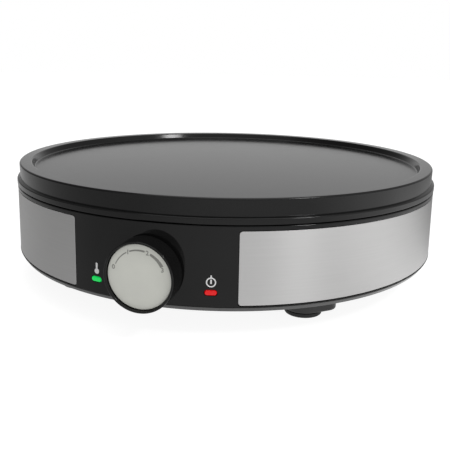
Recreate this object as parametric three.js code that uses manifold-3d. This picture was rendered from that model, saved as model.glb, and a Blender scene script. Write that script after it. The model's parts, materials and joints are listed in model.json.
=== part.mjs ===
// Round electric griddle of the crepe-maker kind: a cast plate with a raised rim on a low round
// housing with two brushed steel panels, a front dial and two pilot lamps.
// Millimetres, +Z up, the dial faces -Y. Heights are measured from the table under the feet.
// An azimuth is an angle round the body seen from above, in degrees: 0 at the dial, 90 at +X.
import * as THREE from "three";
import { mergeVertices } from "three/addons/utils/BufferGeometryUtils.js";
import Module from "manifold-3d";

const wasm = await Module();
wasm.setup();

// ---- Driving dimensions ----
const GAP = 0.3; // clearance between pieces that touch
const ROUND_STEPS = 64; // facets round the body

const PLATE_TOP = 83.2; // cooking surface
const PLATE_UNDER = 79;
const PLATE_FLAT_R = 149.4;
const RIM_CREST = 87.7;
const RIM_FLAT_R = [154.3, 161.3]; // the rim's top is flat between these radii
const RIM_OUTER_R = 162.8;
const SHOULDER_R = 165;
const SHOULDER_Z = 75;
const SKIRT_BOTTOM = 72.2;
const SKIRT_INNER_R = 160;

const BODY_TOP_R = 164.8; // the housing wall widens slightly towards the table
const BODY_BOTTOM_R = 166;
const BODY_BOTTOM = 21.8;
const BODY_TOP = 71.6;
const BODY_INNER_R = 161.4;
const FLANGE_R = 152; // inner edge of the housing's top flange
const FLANGE_THICKNESS = 2.5;

const PANEL_AZIMUTH = [18.9, 161.1]; // ends of the right-hand steel panel; the left one mirrors it
const PANEL_Z = [22.8, 68.5];
const PANEL_CORNER = 2;
const PANEL_THICKNESS = 0.6;
const PANEL_SINK = 0.15; // how far a panel's face lies below the wall around it
const PANEL_GROOVE = 0.45; // dark line left open round each panel

const BASE_UNDER = 18.3;
const BASE_TOP = 21.1; // upper side of the base floor
const BASE_EDGE_R = 165.8;
const BASE_EDGE_Z = 21.4;
const BASE_UNDER_R = 163.7; // the base's edge is bevelled in to here
const BASE_RING_TOP = 24.6; // the base's ring stands inside the housing wall

const FOOT_R = 129.5; // distance of each pad from the body axis
const FOOT_AZIMUTH = 40.5; // the four feet stand at this angle from the front and from the back
const FOOT_END_R = 13.3;
const FOOT_LENGTH = 34.5;
const FOOT_UNDER = 3.2;
const FOOT_SCREW_X = 14; // distance from the pad's middle to the foot's own screw
const PAD_R = 12.6;
const PAD_TOP = 3;
const SPIGOT_R = 4;
const SPIGOT_TOP = 7;

const DIAL_Z = 42.1; // height of the dial's axis
const DIAL_R = 21.8; // at the front; the knob widens slightly towards the body
const DIAL_BACK_R = 22.1;
const DIAL_FACE_R = 20.1;
const DIAL_FACE_FRONT = 178.8; // distance of the printed face from the body axis
const DIAL_FRONT = 181; // distance of the knob's front rim, which stands proud of the face
const DIAL_BACK = 166.9;
const BEZEL_R = 19.5; // low collar on the wall behind the knob
const BEZEL_FRONT = 166.3;
const SHAFT_R = 3;
const SHAFT_BACK = 156.3;
const SHAFT_FLAT = 1.9; // distance from the shaft's axis to its flat

const LAMP_AZIMUTH = { green: -12.8, red: 13.2 };
const LAMP_Z = 30.7;
const LAMP_WIDTH = 7.4;
const LAMP_HEIGHT = 3.2;

const ELEMENT_R = 100;
const ELEMENT_TUBE_R = 3.4;
const ELEMENT_Z = 74.3;
const ELEMENT_END_AZIMUTH = 172;
const ELEMENT_END_Z = 56;

const SHIELD_Z = 60;
const SHEET = 0.8;

const POST_AZIMUTHS = [-112, -68, 68, 112];
const POST_R = 122; // distance of each plate post from the body axis
const POST_BOTTOM = SHIELD_Z + SHEET + 0.4;
const POST_SCREW_Z = 22.5; // underside of each plate screw's head

const BOSS_AZIMUTHS = [-155, -90, -25, 25, 90, 155];
const BOSS_R = 155; // distance of each housing boss from the body axis
const BOSS_BOTTOM = 25;

const GLAND_Z = 37;
const GLAND_OUTER = 169.2;

const BULB_R = 3;
const BULB_Z = 75.4;
const BULB_Y = -70;
const BULB_HALF = 28;
const FUSE_Y = 52;
const FUSE_HALF = 16;

const SEAT_TOP = 25.4; // top of the base cover's own bosses, which carry the inner brackets
const THERMOSTAT = { width: 34, height: 26, front: -150.5, back: -124.5 };
const TAB_X = [-10, 0, 10]; // the thermostat's terminal tabs
const TAB_Z = DIAL_Z - 8.5;
const TAB_LENGTH = 7;
const BRACKET_SCREWS = [[-13, -136], [13, -136]];
const BLOCK = { width: 32, depth: 18, height: 14, y: 122 };
const LEAD_R = 1.3;

// Shifts the body so that the origin is at the middle of the object's box.
const BODY_SHIFT_Y = (DIAL_FRONT - GLAND_OUTER) / 2;

// ---- Materials ----
function finish(color, roughness, metalness) {
  return new THREE.MeshStandardMaterial({ color, roughness, metalness });
}

const nonStick = finish(0x2b2b2c, 0.25, 0.3);
const blackPlastic = finish(0x151516, 0.3, 0);
const basePlastic = finish(0x232324, 0.5, 0);
const brushedSteel = finish(0xc3c2bf, 0.35, 1);
const dialFace = finish(0xbcbcb4, 0.45, 0.1);
const greyRubber = finish(0x333333, 0.9, 0);
const zincSteel = finish(0xa9abad, 0.4, 1);
const elementSteel = finish(0x6b6864, 0.5, 1);
const aluminisedSteel = finish(0xb4b6b8, 0.45, 1);
const ceramic = finish(0xe6e1d4, 0.6, 0);
const copper = finish(0xb87a4b, 0.35, 1);
const glassSleeve = finish(0xddd9c8, 0.8, 0);
const greenLens = finish(0x2fd06a, 0.2, 0);
const redLens = finish(0xe02424, 0.2, 0);
const brownLead = finish(0x6b4226, 0.6, 0);
const blueLead = finish(0x2b4f9e, 0.6, 0);
const whiteLead = finish(0xd9d7d0, 0.7, 0);

// ---- Geometry helpers ----
function radians(degrees) {
  return THREE.MathUtils.degToRad(degrees);
}

// A point at an azimuth, a distance from the body axis and a height.
function polar(azimuth, r, z) {
  const a = radians(azimuth);
  return new THREE.Vector3(r * Math.sin(a), -r * Math.cos(a), z);
}

// A solid of revolution about Z from [radius, height] points, with azimuth 0 towards -Y.
// A profile off the axis is closed on itself.
function turned(points, steps = ROUND_STEPS) {
  const onAxis = points[0][0] === 0;
  const loop = onAxis ? points : [...points, points[0]];
  let area = 0;
  for (let i = 0; i < loop.length - 1; i++) {
    area += loop[i][0] * loop[i + 1][1] - loop[i + 1][0] * loop[i][1];
  }
  const ordered = area > 0 ? loop : [...loop].reverse();
  const profile = ordered.map(([r, z]) => new THREE.Vector2(r, z));
  return new THREE.LatheGeometry(profile, steps).rotateX(Math.PI / 2);
}

// A solid of revolution about a line that leaves the body axis at an azimuth, at height z.
// Its points are [radius, distance from the body axis].
function turnedOutward(points, azimuth, z, steps) {
  return turned(points, steps)
    .rotateX(Math.PI / 2)
    .rotateZ(radians(azimuth))
    .translate(0, 0, z);
}

// A round bar about Z.
function bar(radius, low, high, steps = 12) {
  return turned([[0, low], [radius, low], [radius, high], [0, high]], steps);
}

// Moves a geometry built about Z to an azimuth and distance from the body axis.
function placed(geometry, azimuth, r) {
  return geometry.translate(0, -r, 0).rotateZ(radians(azimuth));
}

// A box given by its lowest and highest corners.
function block(low, high) {
  const size = high.map((value, i) => value - low[i]);
  const centre = high.map((value, i) => (value + low[i]) / 2);
  return new THREE.BoxGeometry(...size).translate(...centre);
}

// An outline of [x, y] points raised from one height to another.
function raised(points, low, high) {
  const shape = new THREE.Shape(points.map(([x, y]) => new THREE.Vector2(x, y)));
  const depth = high - low;
  return new THREE.ExtrudeGeometry(shape, { depth, bevelEnabled: false }).translate(0, 0, low);
}

// Points along an arc about [x, y], both ends included.
function arc(x, y, radius, from, to, steps) {
  const points = [];
  for (let i = 0; i <= steps; i++) {
    const a = radians(from + ((to - from) * i) / steps);
    points.push([x + radius * Math.cos(a), y + radius * Math.sin(a)]);
  }
  return points;
}

// An oblong with round ends, centred on zero.
function pill(width, height, steps = 5) {
  const radius = height / 2;
  const reach = width / 2 - radius;
  return [...arc(reach, 0, radius, -90, 90, steps), ...arc(-reach, 0, radius, 90, 270, steps)];
}

// A tube along a smooth curve through points.
function tube(points, radius, sides, steps) {
  const section = arc(0, 0, radius, 0, 360, sides).slice(0, -1);
  const shape = new THREE.Shape(section.map(([x, y]) => new THREE.Vector2(x, y)));
  const extrudePath = new THREE.CatmullRomCurve3(points, false, "centripetal");
  return new THREE.ExtrudeGeometry(shape, { steps, extrudePath, bevelEnabled: false });
}

// Radius of the housing's outer face at a height.
function wallR(z) {
  return THREE.MathUtils.mapLinear(z, BODY_BOTTOM, BODY_TOP, BODY_BOTTOM_R, BODY_TOP_R);
}

// A curved band that follows the housing wall, between two depths under its face. Each station
// gives an azimuth, and the band's lowest and highest height there.
function band(stations, innerDepth, outerDepth) {
  const corners = [];
  for (const { azimuth, low, high } of stations) {
    corners.push(
      polar(azimuth, wallR(low) - innerDepth, low),
      polar(azimuth, wallR(low) - outerDepth, low),
      polar(azimuth, wallR(high) - outerDepth, high),
      polar(azimuth, wallR(high) - innerDepth, high),
    );
  }
  const index = [0, 1, 2, 0, 2, 3];
  const last = corners.length - 4;
  for (let base = 0; base < last; base += 4) {
    for (let side = 0; side < 4; side++) {
      const a = base + side;
      const b = base + ((side + 1) % 4);
      index.push(a, a + 4, b, b, a + 4, b + 4);
    }
  }
  index.push(last, last + 2, last + 1, last, last + 3, last + 2);
  return new THREE.BufferGeometry().setFromPoints(corners).setIndex(index);
}

// Stations of a band with round corners, grown by a margin on every side.
function panelStations(margin) {
  const edge = THREE.MathUtils.radToDeg(margin / BODY_TOP_R);
  const [from, to] = [PANEL_AZIMUTH[0] - edge, PANEL_AZIMUTH[1] + edge];
  const [low, high] = [PANEL_Z[0] - margin, PANEL_Z[1] + margin];
  const radius = PANEL_CORNER + margin;
  const corner = arc(radius, radius, radius, 180, 270, 4).map(([along, up]) => ({
    along: THREE.MathUtils.radToDeg(along / BODY_TOP_R),
    up,
  }));
  const facet = 360 / ROUND_STEPS;
  const inset = corner.at(-1).along + 1;
  const stations = [];
  for (const { along, up } of corner) {
    stations.push({ azimuth: from + along, low: low + up, high: high - up });
  }
  for (let i = Math.ceil((from + inset) / facet); i * facet < to - inset; i++) {
    stations.push({ azimuth: i * facet, low, high });
  }
  for (const { along, up } of [...corner].reverse()) {
    stations.push({ azimuth: to - along, low: low + up, high: high - up });
  }
  return stations;
}

// ---- Booleans ----
function solid(geometry) {
  const bare = geometry.clone();
  bare.deleteAttribute("normal");
  bare.deleteAttribute("uv");
  const merged = mergeVertices(bare, 1e-4);
  const vertProperties = merged.attributes.position.array;
  const triVerts = new Uint32Array(merged.index.array);
  return new wasm.Manifold(new wasm.Mesh({ numProp: 3, vertProperties, triVerts }));
}

function shaped(body) {
  const mesh = body.getMesh();
  const geometry = new THREE.BufferGeometry();
  geometry.setAttribute("position", new THREE.BufferAttribute(mesh.vertProperties, 3));
  geometry.setIndex(new THREE.BufferAttribute(mesh.triVerts, 1));
  return geometry;
}

function join(first, ...rest) {
  return shaped(rest.reduce((sum, next) => sum.add(solid(next)), solid(first)));
}

function cut(first, ...tools) {
  return shaped(tools.reduce((left, tool) => left.subtract(solid(tool)), solid(first)));
}

// ---- Assembly ----
const griddle = new THREE.Group();
griddle.position.y = BODY_SHIFT_Y;

function add(name, geometry, material) {
  if (!geometry.getAttribute("normal")) {
    geometry.computeVertexNormals();
  }
  const mesh = new THREE.Mesh(geometry, material);
  mesh.name = name;
  griddle.add(mesh);
}

function addPlate() {
  const profile = [
    [0, PLATE_TOP],
    [PLATE_FLAT_R, PLATE_TOP],
    [PLATE_FLAT_R + 1.8, PLATE_TOP + 0.6],
    [PLATE_FLAT_R + 2.5, PLATE_TOP + 2],
    [PLATE_FLAT_R + 3.6, RIM_CREST - 0.5],
    [RIM_FLAT_R[0], RIM_CREST],
    [RIM_FLAT_R[1], RIM_CREST],
    [RIM_OUTER_R - 0.4, RIM_CREST - 0.4],
    [RIM_OUTER_R, RIM_CREST - 1.5],
    [RIM_OUTER_R, SHOULDER_Z + 2.2],
    [SHOULDER_R - 1.2, SHOULDER_Z + 1.7],
    [SHOULDER_R - 0.3, SHOULDER_Z + 0.9],
    [SHOULDER_R, SHOULDER_Z],
    [SHOULDER_R, SKIRT_BOTTOM + 0.6],
    [SHOULDER_R - 0.6, SKIRT_BOTTOM],
    [SKIRT_INNER_R, SKIRT_BOTTOM],
    [SKIRT_INNER_R, PLATE_UNDER - 1],
    [SKIRT_INNER_R - 1, PLATE_UNDER],
    [ELEMENT_R + 7.5, PLATE_UNDER],
    [ELEMENT_R + 7.5, ELEMENT_Z - 0.8],
    [ELEMENT_R + 4, ELEMENT_Z - 0.8],
    [ELEMENT_R + 4, PLATE_UNDER - 0.8],
    [ELEMENT_R - 4, PLATE_UNDER - 0.8],
    [ELEMENT_R - 4, ELEMENT_Z - 0.8],
    [ELEMENT_R - 7.5, ELEMENT_Z - 0.8],
    [ELEMENT_R - 7.5, PLATE_UNDER],
    [0, PLATE_UNDER],
  ];
  const posts = POST_AZIMUTHS.map((a) => placed(bar(6, POST_BOTTOM, PLATE_UNDER + 1), a, POST_R));
  const holes = POST_AZIMUTHS.map((a) => placed(bar(2.3, POST_BOTTOM - 1, 76.5), a, POST_R));
  add("griddle_plate", cut(join(turned(profile), ...posts), ...holes), nonStick);
}

function addHeatingElement() {
  const end = ELEMENT_END_AZIMUTH;
  const half = [
    polar(end, ELEMENT_R, ELEMENT_END_Z),
    polar(end, ELEMENT_R, 62),
    polar(end, ELEMENT_R, 68),
    polar(end - 1.2, ELEMENT_R, 72.2),
    polar(end - 4.5, ELEMENT_R, ELEMENT_Z),
  ];
  const ring = [];
  for (let azimuth = 156; azimuth >= -156; azimuth -= 12) {
    ring.push(polar(azimuth, ELEMENT_R, ELEMENT_Z));
  }
  const mirrored = half.map(({ x, y, z }) => new THREE.Vector3(-x, y, z)).reverse();
  add("heating_element", tube([...half, ...ring, ...mirrored], ELEMENT_TUBE_R, 8, 76), elementSteel);
  for (const [side, azimuth] of [["live", end], ["neutral", -end]]) {
    const pin = bar(1.6, 50, ELEMENT_END_Z - GAP, 8);
    const tab = block([-3.1, -0.5, 44], [3.1, 0.5, 51]);
    add(`element_terminal_${side}`, placed(join(pin, tab), azimuth, ELEMENT_R), zincSteel);
  }
}

function addHeatShield() {
  const dish = turned([
    [0, SHIELD_Z],
    [135, SHIELD_Z],
    [143, SHIELD_Z + 8],
    [148.5, SHIELD_Z + 8],
    [148.5, SHIELD_Z + 8 + SHEET],
    [142.6, SHIELD_Z + 8 + SHEET],
    [134.6, SHIELD_Z + SHEET],
    [0, SHIELD_Z + SHEET],
  ]);
  const through = (radius, azimuth, r) =>
    placed(bar(radius, SHIELD_Z - 1, SHIELD_Z + 2), azimuth, r);
  add(
    "heat_shield",
    cut(
      dish,
      ...POST_AZIMUTHS.map((a) => through(2.6, a, POST_R)),
      through(5, ELEMENT_END_AZIMUTH, ELEMENT_R),
      through(5, -ELEMENT_END_AZIMUTH, ELEMENT_R),
      through(4, 27, 86),
      through(4, 150, 70),
      through(4, -150, 70),
    ),
    aluminisedSteel,
  );
}

function addHousing() {
  const wall = turned([
    [BODY_BOTTOM_R, BODY_BOTTOM],
    [wallR(BODY_TOP - 0.7), BODY_TOP - 0.7],
    [BODY_TOP_R - 0.7, BODY_TOP],
    [FLANGE_R, BODY_TOP],
    [FLANGE_R, BODY_TOP - FLANGE_THICKNESS],
    [BODY_INNER_R, BODY_TOP - FLANGE_THICKNESS],
    [BODY_INNER_R, BODY_BOTTOM],
  ]);
  const bossTop = BODY_TOP - 1;
  const rib = block([-2, -BODY_INNER_R - 1, BOSS_BOTTOM], [2, -BOSS_R, bossTop]);
  const bosses = BOSS_AZIMUTHS.flatMap((azimuth) => [
    placed(bar(5.2, BOSS_BOTTOM, bossTop), azimuth, BOSS_R),
    rib.clone().rotateZ(radians(azimuth)),
  ]);
  const pilots = BOSS_AZIMUTHS.map((a) => placed(bar(1.7, BOSS_BOTTOM - 1, 40), a, BOSS_R));
  const pocket = band(panelStations(PANEL_GROOVE), PANEL_SINK + PANEL_THICKNESS + GAP, -2);
  const [inside, outside] = [BODY_INNER_R - 6, BODY_BOTTOM_R + 3];
  const windows = Object.values(LAMP_AZIMUTH).map((azimuth) =>
    lampPrism(LAMP_WIDTH + 0.5, LAMP_HEIGHT + 0.5, inside, outside, azimuth),
  );
  const round = (radius, azimuth, z) =>
    turnedOutward([[0, inside], [radius, inside], [radius, outside], [0, outside]], azimuth, z, 16);
  const shaftHole = round(SHAFT_R + 1.2, 0, DIAL_Z);
  const glandHole = round(5.9, 180, GLAND_Z);
  add(
    "housing_ring",
    cut(
      join(wall, ...bosses),
      ...pilots,
      pocket,
      pocket.clone().rotateZ(Math.PI),
      ...windows,
      shaftHole,
      glandHole,
    ),
    blackPlastic,
  );
}

function addSteelPanels() {
  const panel = band(panelStations(0), PANEL_SINK + PANEL_THICKNESS, PANEL_SINK);
  add("steel_panel_right", panel, brushedSteel);
  add("steel_panel_left", panel.clone().rotateZ(Math.PI), brushedSteel);
}

function addBaseCover() {
  const floor = turned([
    [0, BASE_UNDER],
    [BASE_UNDER_R, BASE_UNDER],
    [BASE_EDGE_R, BASE_EDGE_Z],
    [BODY_INNER_R - 0.4, BASE_EDGE_Z],
    [BODY_INNER_R - 0.4, BASE_RING_TOP],
    [BODY_INNER_R - 3.4, BASE_RING_TOP],
    [BODY_INNER_R - 3.4, BASE_TOP],
    [0, BASE_TOP],
  ]);
  const columnTop = SHIELD_Z - GAP;
  const columns = POST_AZIMUTHS.map((a) => placed(bar(6.5, BASE_TOP - 1, columnTop), a, POST_R));
  const seats = [...BRACKET_SCREWS, [0, BLOCK.y]];
  const bosses = seats.map(([x, y]) => bar(4.2, BASE_TOP - 1, SEAT_TOP).translate(x, y, 0));
  const pilots = seats.map(([x, y]) => bar(1.6, BASE_TOP - 0.7, SEAT_TOP + 1).translate(x, y, 0));
  const bores = POST_AZIMUTHS.flatMap((azimuth) => [
    placed(bar(2.6, BASE_UNDER - 1, SHIELD_Z + 1), azimuth, POST_R),
    placed(bar(4.6, BASE_UNDER - 1, POST_SCREW_Z + 3), azimuth, POST_R),
  ]);
  const screwHoles = BOSS_AZIMUTHS.flatMap((azimuth) => [
    placed(bar(1.9, BASE_UNDER - 1, BASE_TOP + 1), azimuth, BOSS_R),
    placed(bar(3.5, BASE_UNDER - 1, BASE_UNDER + 1.4), azimuth, BOSS_R),
  ]);
  const footHoles = feet().map(({ azimuth, turn }) => {
    const hole = bar(1.9, BASE_UNDER - 1, BASE_TOP + 1);
    return footPlaced(hole.translate(turn * FOOT_SCREW_X, 0, 0), azimuth);
  });
  const slots = [];
  for (let azimuth = 0; azimuth < 360; azimuth += 30) {
    const slot = raised(pill(26, 3, 3), BASE_UNDER - 1, BASE_TOP + 1).rotateZ(Math.PI / 2);
    slots.push(placed(slot, azimuth, 74));
  }
  const tools = [...pilots, ...bores, ...screwHoles, ...footHoles, ...slots];
  add("base_cover", cut(join(floor, ...columns, ...bosses), ...tools), basePlastic);
}

// Each foot's name, the azimuth of its pad and the side on which its long end lies.
function feet() {
  return [
    { name: "front_right", azimuth: FOOT_AZIMUTH, turn: 1 },
    { name: "front_left", azimuth: -FOOT_AZIMUTH, turn: -1 },
    { name: "rear_right", azimuth: 180 - FOOT_AZIMUTH, turn: -1 },
    { name: "rear_left", azimuth: FOOT_AZIMUTH - 180, turn: 1 },
  ];
}

function footPlaced(geometry, azimuth) {
  return placed(geometry, azimuth, FOOT_R);
}

function addFeet() {
  const corner = 8;
  const reach = FOOT_LENGTH - FOOT_END_R - corner;
  const side = FOOT_END_R - corner;
  for (const { name, azimuth, turn } of feet()) {
    const outline = [
      ...arc(0, 0, FOOT_END_R, 90, 270, 8),
      ...arc(reach, -side, corner, -90, 0, 3),
      ...arc(reach, side, corner, 0, 90, 3),
    ];
    const footprint = turn > 0 ? outline : outline.map(([x, y]) => [-x, y]).reverse();
    const body = raised(footprint, FOOT_UNDER, BASE_UNDER - 0.2);
    const socket = bar(SPIGOT_R + GAP, FOOT_UNDER - 1, SPIGOT_TOP + 1);
    const pilot = bar(1.7, 9, BASE_UNDER + 1).translate(turn * FOOT_SCREW_X, 0, 0);
    add(`foot_${name}`, footPlaced(cut(body, socket, pilot), azimuth), basePlastic);
    const pad = turned(
      [
        [0, 0],
        [PAD_R - 1.2, 0],
        [PAD_R, 1.2],
        [PAD_R, PAD_TOP],
        [SPIGOT_R, PAD_TOP],
        [SPIGOT_R, SPIGOT_TOP],
        [0, SPIGOT_TOP],
      ],
      16,
    );
    add(`foot_pad_${name}`, footPlaced(pad, azimuth), greyRubber);
    const headHeight = 2;
    const screw = pointedScrew(1.5, 3, headHeight, 11.5)
      .rotateX(Math.PI)
      .translate(turn * FOOT_SCREW_X, 0, BASE_TOP + GAP + headHeight);
    add(`foot_screw_${name}`, footPlaced(screw, azimuth), zincSteel);
  }
}

// A screw about Z with its head's underside up: the head sits at the bottom and the tip points up.
function pointedScrew(shankR, headR, headHeight, length) {
  const top = headHeight + length;
  return turned(
    [
      [0, 0],
      [headR, 0.3],
      [headR, headHeight],
      [shankR, headHeight],
      [shankR, top - shankR],
      [0, top],
    ],
    8,
  );
}

// Cuts a cross recess into the head of a screw built by pointedScrew.
function crossed(screw, size) {
  const slot = block([-size, -0.45, -1], [size, 0.45, 1]);
  return cut(screw, slot, slot.clone().rotateZ(Math.PI / 2));
}

function addScrews() {
  BOSS_AZIMUTHS.forEach((azimuth, i) => {
    const screw = crossed(pointedScrew(1.5, 3.1, 1.2, 18), 1.8).translate(0, 0, BASE_UNDER + 0.1);
    add(`base_screw_${i + 1}`, placed(screw, azimuth, BOSS_R), zincSteel);
  });
  POST_AZIMUTHS.forEach((azimuth, i) => {
    const screw = crossed(pointedScrew(2, 4.2, 2.4, 50), 2.4).translate(0, 0, POST_SCREW_Z);
    add(`plate_screw_${i + 1}`, placed(screw, azimuth, POST_R), zincSteel);
  });
}

function addDial() {
  const bezel = turnedOutward(
    [
      [5, 161],
      [BEZEL_R, 161],
      [BEZEL_R, BEZEL_FRONT - 0.5],
      [BEZEL_R - 0.5, BEZEL_FRONT],
      [5, BEZEL_FRONT],
    ],
    0,
    DIAL_Z,
    40,
  );
  const core = turned([
    [0, BODY_BOTTOM],
    [BODY_BOTTOM_R + GAP, BODY_BOTTOM],
    [BODY_TOP_R + GAP, BODY_TOP],
    [0, BODY_TOP],
  ]);
  add("dial_bezel", cut(bezel, core), blackPlastic);

  const hubR = 6;
  const boreR = SHAFT_R + GAP;
  const faceSeat = DIAL_FACE_FRONT - 1.5;
  const boreEnd = faceSeat - 1.2;
  const webBack = faceSeat - 2;
  const cup = turnedOutward(
    [
      [0, boreEnd],
      [boreR, boreEnd],
      [boreR, DIAL_BACK + 0.4],
      [hubR, DIAL_BACK + 0.4],
      [hubR, webBack],
      [DIAL_R - 2.4, webBack],
      [DIAL_R - 2.4, DIAL_BACK],
      [DIAL_BACK_R - 0.5, DIAL_BACK],
      [DIAL_BACK_R, DIAL_BACK + 0.8],
      [DIAL_R, DIAL_FRONT - 0.5],
      [DIAL_R - 0.3, DIAL_FRONT],
      [DIAL_FACE_R + GAP + 0.4, DIAL_FRONT],
      [DIAL_FACE_R + GAP, DIAL_FRONT - 0.5],
      [DIAL_FACE_R + GAP, faceSeat],
      [0, faceSeat],
    ],
    0,
    DIAL_Z,
    40,
  );
  const key = block(
    [-boreR, -boreEnd - 0.2, DIAL_Z + SHAFT_FLAT + GAP],
    [boreR, -DIAL_BACK - 2, DIAL_Z + boreR + 0.5],
  );
  add("dial_knob", join(cup, key), blackPlastic);

  const face = turnedOutward(
    [
      [0, faceSeat + GAP],
      [DIAL_FACE_R, faceSeat + GAP],
      [DIAL_FACE_R, DIAL_FACE_FRONT - 0.3],
      [DIAL_FACE_R - 0.6, DIAL_FACE_FRONT],
      [0, DIAL_FACE_FRONT],
    ],
    0,
    DIAL_Z,
    40,
  );
  add("dial_face", face, dialFace);

  const shaftEnd = boreEnd - GAP;
  const shaft = turnedOutward(
    [
      [0, SHAFT_BACK],
      [SHAFT_R, SHAFT_BACK],
      [SHAFT_R, shaftEnd - 0.6],
      [SHAFT_R - 0.6, shaftEnd],
      [0, shaftEnd],
    ],
    0,
    DIAL_Z,
    20,
  );
  const flat = block([-5, -shaftEnd - 1, DIAL_Z + SHAFT_FLAT], [5, -DIAL_BACK, DIAL_Z + 5]);
  add("thermostat_shaft", cut(shaft, flat), zincSteel);

  const [clipInnerR, clipOuterR] = [hubR + GAP, hubR + GAP + 0.6];
  const [clipBack, clipFront] = [DIAL_BACK + 1, DIAL_BACK + 5];
  const clip = turnedOutward(
    [[clipInnerR, clipBack], [clipOuterR, clipBack], [clipOuterR, clipFront], [clipInnerR, clipFront]],
    0,
    DIAL_Z,
    20,
  );
  const opening = block([-1.5, -clipFront - 1, DIAL_Z - 9], [1.5, -DIAL_BACK, DIAL_Z - 4]);
  add("dial_spring_clip", cut(clip, opening), zincSteel);
}

// An oblong rod that leaves the body axis at an azimuth, between two distances from it.
function lampPrism(width, height, from, to, azimuth) {
  return raised(pill(width, height), from, to)
    .rotateX(Math.PI / 2)
    .rotateZ(radians(azimuth))
    .translate(0, 0, LAMP_Z);
}

function addLamps() {
  for (const [name, lens] of [["green", greenLens], ["red", redLens]]) {
    const azimuth = LAMP_AZIMUTH[name];
    const back = BODY_INNER_R - 4;
    const front = wallR(LAMP_Z) + 0.3;
    add(`lamp_lens_${name}`, lampPrism(LAMP_WIDTH, LAMP_HEIGHT, back, front, azimuth), lens);
    const holder = block([-6, -back + GAP, LAMP_Z - 4.5], [6, -back + 10, LAMP_Z + 4.5]);
    add(`lamp_holder_${name}`, holder.rotateZ(radians(azimuth)), ceramic);
  }
}

function addThermostat() {
  const { width, height, front, back } = THERMOSTAT;
  const half = width / 2;
  const bushingEnd = SHAFT_BACK - GAP;
  const bushingOutline = [[0, 145], [4.5, 145], [4.5, bushingEnd], [0, bushingEnd]];
  const bushing = turnedOutward(bushingOutline, 0, DIAL_Z, 16);
  const housing = block([-half, front, DIAL_Z - height / 2], [half, back, DIAL_Z + height / 2]);
  const tab = block([-3, back - 1, TAB_Z - 0.5], [3, back + TAB_LENGTH, TAB_Z + 0.5]);
  const tabs = TAB_X.map((x) => tab.clone().translate(x, 0, 0));
  add("thermostat_body", join(housing, bushing, ...tabs), ceramic);

  const sheet = 1.2;
  const face = front - GAP;
  const low = SEAT_TOP + GAP;
  const reach = 20;
  const upright = block([-reach, face - sheet, low], [reach, face, DIAL_Z + height / 2]);
  const foot = block([-reach, face - sheet, low], [reach, -128, low + sheet]);
  const hole = turnedOutward([[0, 140], [5, 140], [5, 160], [0, 160]], 0, DIAL_Z, 16);
  const seats = BRACKET_SCREWS.map(([x, y]) => bar(1.9, low - 1, low + 3).translate(x, y, 0));
  add("thermostat_bracket", cut(join(upright, foot), hole, ...seats), zincSteel);
  BRACKET_SCREWS.forEach(([x, y], i) => {
    const headHeight = 1.8;
    const top = low + sheet + GAP + headHeight;
    const screw = pointedScrew(1.3, 2.8, headHeight, 5).rotateX(Math.PI).translate(x, y, top);
    add(`bracket_screw_${i + 1}`, screw, zincSteel);
  });
}

// A bar along X with chamfered ends.
function barAlongX(radius, half, y, z) {
  const chamfer = 0.6;
  return turned(
    [
      [0, -half],
      [radius - chamfer, -half],
      [radius, chamfer - half],
      [radius, half - chamfer],
      [radius - chamfer, half],
      [0, half],
    ],
    10,
  )
    .rotateY(Math.PI / 2)
    .translate(0, y, z);
}

// A strap bent under a bar along X, with a flat ear against the plate on either side.
function strap(width, y) {
  const inner = BULB_R + GAP;
  const outer = inner + SHEET;
  const top = PLATE_UNDER - GAP - BULB_Z;
  const ear = outer + 7;
  const outline = [
    [-ear, top],
    [-ear, top - SHEET],
    [-outer, top - SHEET],
    ...arc(0, 0, outer, 180, 360, 8),
    [outer, top - SHEET],
    [ear, top - SHEET],
    [ear, top],
    [inner, top],
    ...arc(0, 0, inner, 0, -180, 8),
    [-inner, top],
  ];
  return raised(outline, -width / 2, width / 2)
    .rotateX(Math.PI / 2)
    .rotateZ(Math.PI / 2)
    .translate(0, y, BULB_Z);
}

function addSensors() {
  const bulb = barAlongX(BULB_R, BULB_HALF, BULB_Y, BULB_Z);
  const capillary = tube(
    [
      new THREE.Vector3(BULB_HALF - 2, BULB_Y, BULB_Z),
      new THREE.Vector3(BULB_HALF + 5, BULB_Y - 1, BULB_Z - 1),
      polar(27, 86, 68),
      polar(27, 86, 60),
      polar(24, 90, 54),
      new THREE.Vector3(20, -112, 53),
      new THREE.Vector3(12, THERMOSTAT.back + 1, 52),
    ],
    1.1,
    6,
    22,
  );
  add("thermostat_bulb", join(bulb, capillary), copper);
  add("bulb_clip", strap(9, BULB_Y), aluminisedSteel);
  add("thermal_fuse", barAlongX(BULB_R, FUSE_HALF, FUSE_Y, BULB_Z), glassSleeve);
  add("fuse_clip", strap(9, FUSE_Y), aluminisedSteel);
}

function addTerminalBlock() {
  const { width, depth, height, y } = BLOCK;
  const low = SEAT_TOP + GAP;
  const body = block([-width / 2, y - depth / 2, low], [width / 2, y + depth / 2, low + height]);
  const ways = [-10, 10].map((x) =>
    bar(2.2, -depth, depth).rotateX(Math.PI / 2).translate(x, y, low + height / 2),
  );
  const well = [-10, 10].map((x) => bar(2.4, low + height / 2, low + height + 1).translate(x, y, 0));
  const hole = bar(1.9, 0, 60).translate(0, y, 0);
  add("terminal_block", cut(body, ...ways, ...well, hole), ceramic);
  const headHeight = 2;
  const top = low + height + GAP + headHeight;
  const screw = pointedScrew(1.3, 3, headHeight, height + 4).rotateX(Math.PI).translate(0, y, top);
  add("terminal_screw", screw, zincSteel);
}

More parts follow.
